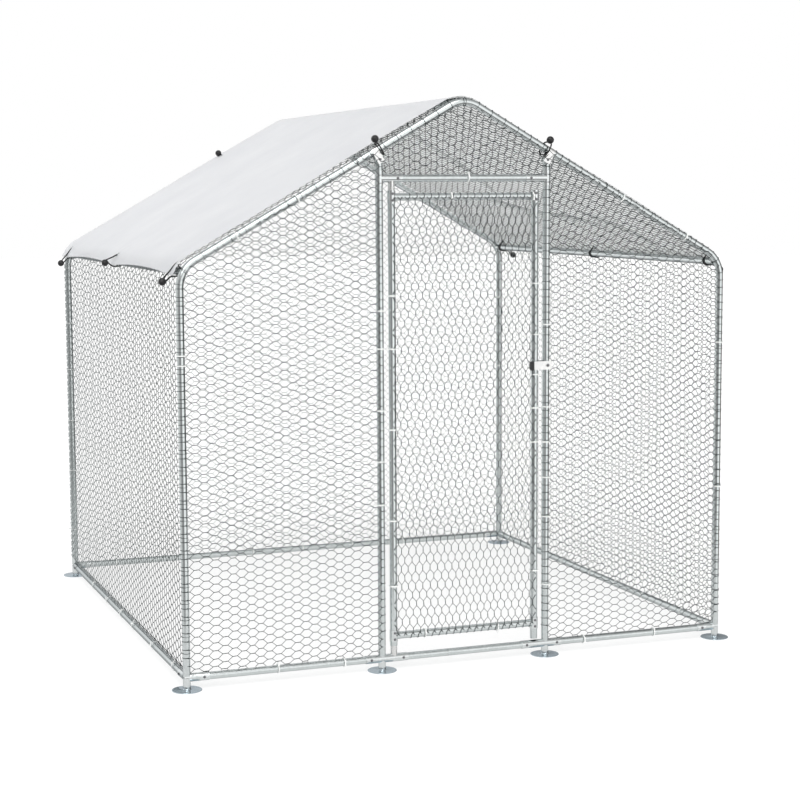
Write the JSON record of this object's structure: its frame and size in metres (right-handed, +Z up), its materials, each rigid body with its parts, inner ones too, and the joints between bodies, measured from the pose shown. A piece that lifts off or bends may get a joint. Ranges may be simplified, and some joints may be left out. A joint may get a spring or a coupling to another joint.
{
  "type": "animal run",
  "caption": "Walk-in animal run of zinc-plated tube with wire-netted walls, gable roof under a tied-down cover sheet, disc feet and a hinged net door with a turn latch.",
  "frame": {"origin": "middle of the run on the ground, under the ridge", "axes": "+X to the right along the door wall seen from outside, +Y from the door wall to the rear wall, +Z up"},
  "size_m": [2.0806, 2.0734, 1.941],
  "materials": {
    "zinc_tube": "bright zinc plate",
    "zinc_fitting": "bluish bright zinc plate",
    "net_wire": "galvanised wire",
    "latch_steel": "bright plated strip",
    "cover_sheet": "coated woven sheet",
    "elastic_cord": "braided elastic",
    "black_plastic": "moulded, satin"
  },
  "bodies": {
    "frame": {"apex_bends": "zinc_tube", "base_tube_front_left": "zinc_tube", "base_tube_front_right": "zinc_tube", "base_tube_left": "zinc_tube", "base_tube_rear": "zinc_tube", "base_tube_right": "zinc_tube", "base_tube_sill": "zinc_tube", "bungee_balls": "black_plastic", "bungee_cords": "elastic_cord", "corner_connectors": "zinc_fitting", "door_base_connectors": "zinc_fitting", "door_post_left": "zinc_tube", "door_post_right": "zinc_tube", "eave_bends": "zinc_tube", "eave_tube_left": "zinc_tube", "eave_tube_right": "zinc_tube", "feet": "zinc_fitting", "head_bar": "zinc_tube", "head_brackets": "zinc_fitting", "hinge_pins": "zinc_fitting", "latch_bolt": "latch_steel", "latch_stop": "latch_steel", "net_front_left": "net_wire", "net_front_right": "net_wire", "net_gable": "net_wire", "net_left": "net_wire", "net_rear": "net_wire", "net_right": "net_wire", "net_roof_left": "net_wire", "net_roof_right": "net_wire", "post_clamps": "zinc_fitting", "post_front_left": "zinc_tube", "post_front_right": "zinc_tube", "post_rear_left": "zinc_tube", "post_rear_right": "zinc_tube", "rafter_front_left": "zinc_tube", "rafter_front_right": "zinc_tube", "rafter_rear_left": "zinc_tube", "rafter_rear_right": "zinc_tube", "ridge_tube": "zinc_tube", "roof_cover": "cover_sheet"},
    "door": {"door_hinge_stile": "zinc_tube", "door_latch_stile": "zinc_tube", "door_top_rail": "zinc_tube", "door_bottom_rail": "zinc_tube", "door_net": "net_wire", "hinge_plug": "black_plastic"},
    "latch": {"latch_bar": "latch_steel", "latch_grip": "black_plastic"}
  },
  "joints": [
    {"name": "door_hinge", "type": "hinge", "parent": "frame", "child": "door", "pos_m": [-0.262, -0.9875, 0.084], "axis": [0, 0, -1], "range_deg": [0, 120]},
    {"name": "latch_turn", "type": "hinge", "parent": "frame", "child": "latch", "pos_m": [0.305, -1.004, 1.026], "axis": [0, 1, 0], "range_deg": [-90, 90]}
  ]
}
